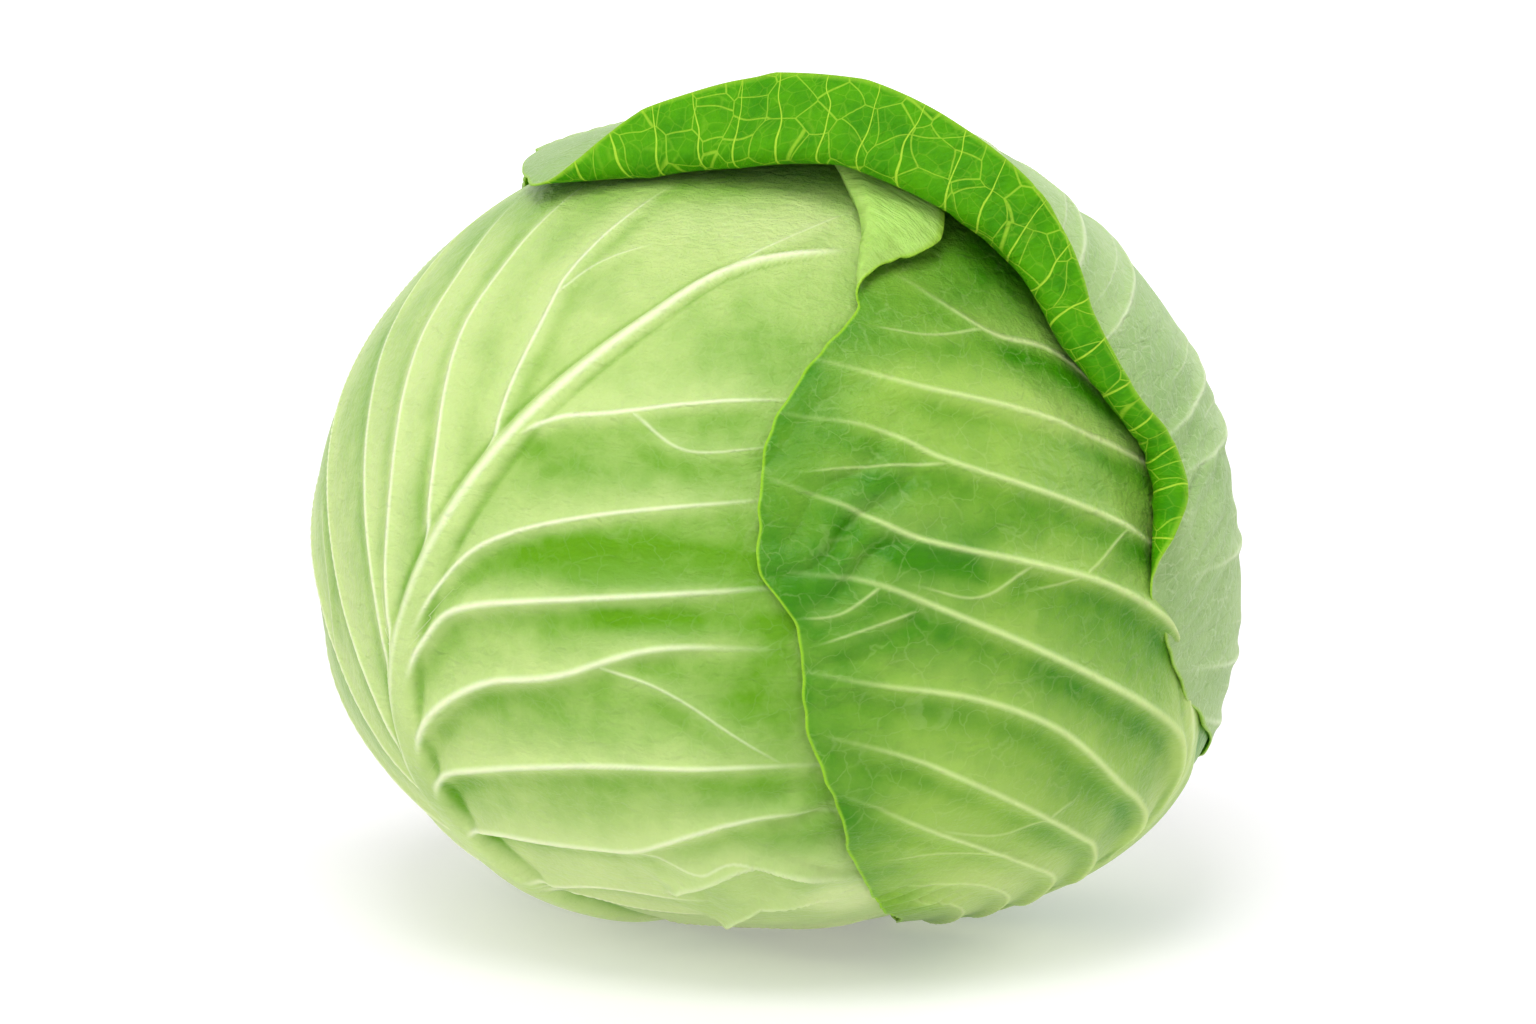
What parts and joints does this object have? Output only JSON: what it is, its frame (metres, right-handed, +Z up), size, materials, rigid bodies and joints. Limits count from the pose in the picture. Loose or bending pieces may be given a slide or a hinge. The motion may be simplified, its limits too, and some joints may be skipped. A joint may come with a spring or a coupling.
{
  "type": "cabbage head",
  "caption": "Whole round green cabbage with folded outer leaves and a flat cut stem, resting on its base.",
  "frame": {"origin": "middle of the bounding box in plan, at the height of the flat cut face of the stem", "axes": "+Z up through the head, -Y towards the side where the two front leaves overlap, +X to the right seen from that side"},
  "size_m": [0.1904, 0.1926, 0.1772],
  "materials": {
    "stem_stump": "freshly cut pale stem, matt and slightly moist",
    "heart": "tightly packed pale inner leaves, waxy",
    "inner_leaf_front": "pale waxy leaf",
    "inner_leaf_left": "pale waxy leaf",
    "inner_leaf_right": "pale waxy leaf",
    "back_left_leaf": "mid-green waxy leaf with pale veins",
    "left_front_leaf": "yellow-green waxy leaf with pale veins",
    "right_front_leaf": "mid-green waxy leaf with pale veins and a bright thin edge",
    "wrapper_leaf": "dark green leaf with a grey waxy bloom outside and a network of yellow-green veins"
  },
  "bodies": {
    "root": {"stem_stump": "stem_stump", "heart": "heart", "inner_leaf_front": "inner_leaf_front", "inner_leaf_left": "inner_leaf_left", "inner_leaf_right": "inner_leaf_right", "back_left_leaf": "back_left_leaf", "left_front_leaf": "left_front_leaf", "right_front_leaf": "right_front_leaf", "wrapper_leaf": "wrapper_leaf"}
  },
  "joints": []
}
